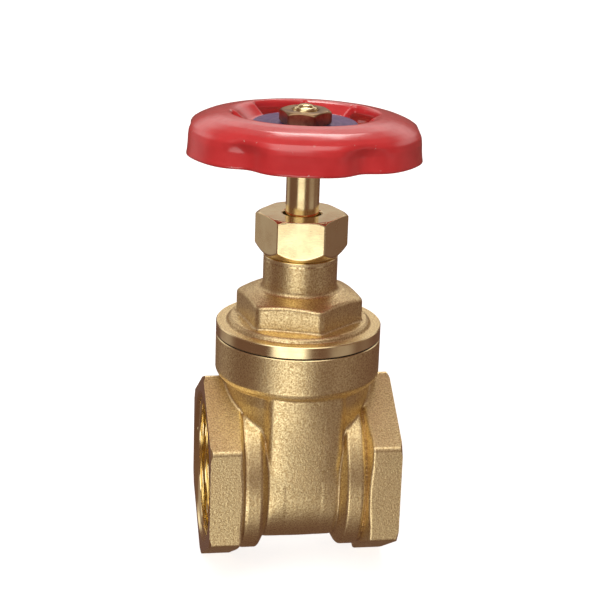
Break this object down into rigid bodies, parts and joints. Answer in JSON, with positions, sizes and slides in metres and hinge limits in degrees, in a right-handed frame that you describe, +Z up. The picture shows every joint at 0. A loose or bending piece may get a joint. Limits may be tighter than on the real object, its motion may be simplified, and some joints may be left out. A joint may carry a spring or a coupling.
{
  "type": "threaded brass gate valve",
  "caption": "Threaded brass gate valve with hexagon pipe ends, screwed bonnet, gland nut, non-rising stem and lobed red handwheel; turning the wheel lifts a wedge gate out of the bore.",
  "frame": {"origin": "on the stem axis, level with the lowest edges of the hexagon ends, at the bottom centre of the whole valve; the pipe axis is 39.47 mm above it", "axes": "+X along the pipe axis out of one threaded end, +Z up along the stem to the handwheel, -Y towards the front flat of the hexagon ends"},
  "size_m": [0.0928, 0.0938, 0.1901],
  "materials": {
    "cast_brass": "shot-blasted cast brass, fine grain, semi-matt",
    "gate_brass": "cast brass with ground seat faces",
    "turned_brass": "turned bright brass, fine lathe marks",
    "bronze_nut": "dark tarnished bronze with worn bright edges",
    "red_enamel": "thick glossy red enamel on a cast metal wheel",
    "plate_blue": "satin blue-violet printed metal disc, blank",
    "packing_ptfe": "white packing rings",
    "gasket_fibre": "dark compressed fibre sheet"
  },
  "bodies": {
    "valve_body": {"body": "cast_brass", "bonnet": "cast_brass", "bonnet_gasket": "gasket_fibre", "stem_retaining_ring": "turned_brass", "packing_base_washer": "turned_brass", "packing_ring_1": "packing_ptfe", "packing_ring_2": "packing_ptfe", "packing_ring_3": "packing_ptfe", "gland_follower": "turned_brass", "gland_nut": "turned_brass"},
    "stem_and_wheel": {"stem": "turned_brass", "handwheel": "red_enamel", "handwheel_plate": "plate_blue", "handwheel_nut": "bronze_nut"},
    "gate": {"gate_wedge": "gate_brass"}
  },
  "joints": [
    {"name": "wheel_turn", "type": "hinge", "parent": "valve_body", "child": "stem_and_wheel", "pos_m": [0, 0, 0.13947], "axis": [0, 0, 1], "range_deg": [0, 5436]},
    {"name": "gate_lift", "type": "slide", "parent": "valve_body", "child": "gate", "axis": [0, 0, 1], "range_m": [0, 0.0454]}
  ],
  "couplings": [
    {"joint": "gate_lift", "follows": "wheel_turn", "m_per_rad": 0.00047746}
  ]
}
